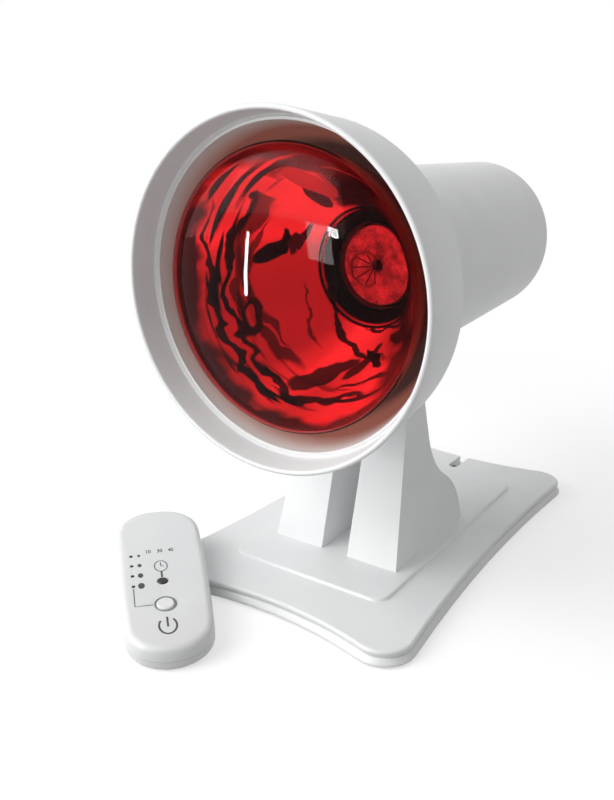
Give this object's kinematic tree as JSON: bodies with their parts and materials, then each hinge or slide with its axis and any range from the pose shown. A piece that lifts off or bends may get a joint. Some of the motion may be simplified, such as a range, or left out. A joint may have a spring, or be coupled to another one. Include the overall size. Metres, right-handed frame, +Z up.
{
  "type": "infrared heat therapy lamp",
  "caption": "Infrared heat therapy lamp: a red reflector bulb in a round hood that tilts on a forked stand with a flat weighted base, and a push-button hand control.",
  "frame": {"origin": "on the table, under the middle of the base", "axes": "+Z up; the lamp faces -Y; +X is on the right of the lamp seen from its back, which is the left of someone who sits in front of it"},
  "size_m": [0.1761, 0.2965, 0.2383],
  "materials": {
    "white_plastic": "satin white moulded plastic",
    "handset_plastic": "fine satin, pale grey-white moulded plastic",
    "white_enamel": "spun aluminium sheet, stoved white on the side seen",
    "ballast_iron": "sawn plate, bare",
    "black_rubber": "matt moulded rubber",
    "screw_steel": "zinc-plated steel",
    "brass": "plain brass",
    "socket_ceramic": null,
    "terminal_plastic": "natural nylon",
    "wire_pair": "brown and blue insulated wires",
    "red_glass": "transparent red glass, polished",
    "silver_coat": "vapour-deposited silver on the bulb's bowl",
    "black_glass": "black vitrite button of the bulb's cap",
    "clear_glass": "clear glass stem",
    "filament_wire": "drawn support wire",
    "tungsten": "coiled tungsten wire",
    "button_white": "satin white moulded button",
    "ring_grey": "satin grey ring",
    "button_black": "satin black moulded button",
    "led_dark": "smoked light window, unlit",
    "board_green": "green solder mask",
    "switch_black": "matt black switch body"
  },
  "bodies": {
    "base": {"base_top_shell": "white_plastic", "base_tray": "white_plastic", "ballast_plate": "ballast_iron", "rubber_feet": "black_rubber", "base_screws": "screw_steel", "cord_inlet": "black_rubber", "stand": "white_plastic", "stand_screws": "screw_steel", "terminal_block": "terminal_plastic", "base_wires": "wire_pair", "pivot_bolt": "screw_steel", "pivot_nut": "screw_steel", "pivot_caps": "white_plastic", "friction_washers": "screw_steel"},
    "head": {"tilt_lug": "white_plastic", "lug_bush": "brass", "lug_screws": "screw_steel", "shade_ring": "white_plastic", "housing_shell": "white_plastic", "rear_cover": "white_plastic", "rear_cover_screws": "screw_steel", "reflector_dish": "white_enamel", "socket_plate": "screw_steel", "plate_screws": "screw_steel", "lamp_socket": "socket_ceramic", "socket_sleeve": "brass", "socket_contact": "brass", "head_wires": "wire_pair", "bulb_glass": "red_glass", "bulb_mirror": "silver_coat", "bulb_cap": "brass", "bulb_tip": "black_glass", "bulb_stem": "clear_glass", "neck_disc": "silver_coat", "filament_supports": "filament_wire", "filament": "tungsten"},
    "handset": {"handset_top_shell": "handset_plastic", "handset_bottom_shell": "handset_plastic", "button_ring": "ring_grey", "led_windows": "led_dark", "circuit_board": "board_green", "button_switches": "switch_black", "handset_screws": "screw_steel", "handset_cord_inlet": "black_rubber"},
    "power_button": {"power_button": "button_white"},
    "timer_button": {"timer_button": "button_black"}
  },
  "joints": [
    {"name": "head_tilt", "type": "hinge", "parent": "base", "child": "head", "pos_m": [0, -0.0248, 0.094], "axis": [-1, 0, 0], "range_deg": [-20, 40]},
    {"name": "handset_lift", "type": "slide", "parent": "base", "child": "handset", "axis": [0, 0, 1], "range_m": [0, 0.03]},
    {"name": "power_press", "type": "slide", "parent": "handset", "child": "power_button", "axis": [-0.1045, 0.0971, -0.9898], "range_m": [0, 0.0006], "stiffness_N_per_m": 2000, "springref_m": -0.0003},
    {"name": "timer_press", "type": "slide", "parent": "handset", "child": "timer_button", "axis": [-0.1045, 0.0971, -0.9898], "range_m": [0, 0.0004], "stiffness_N_per_m": 2000, "springref_m": -0.0003}
  ]
}
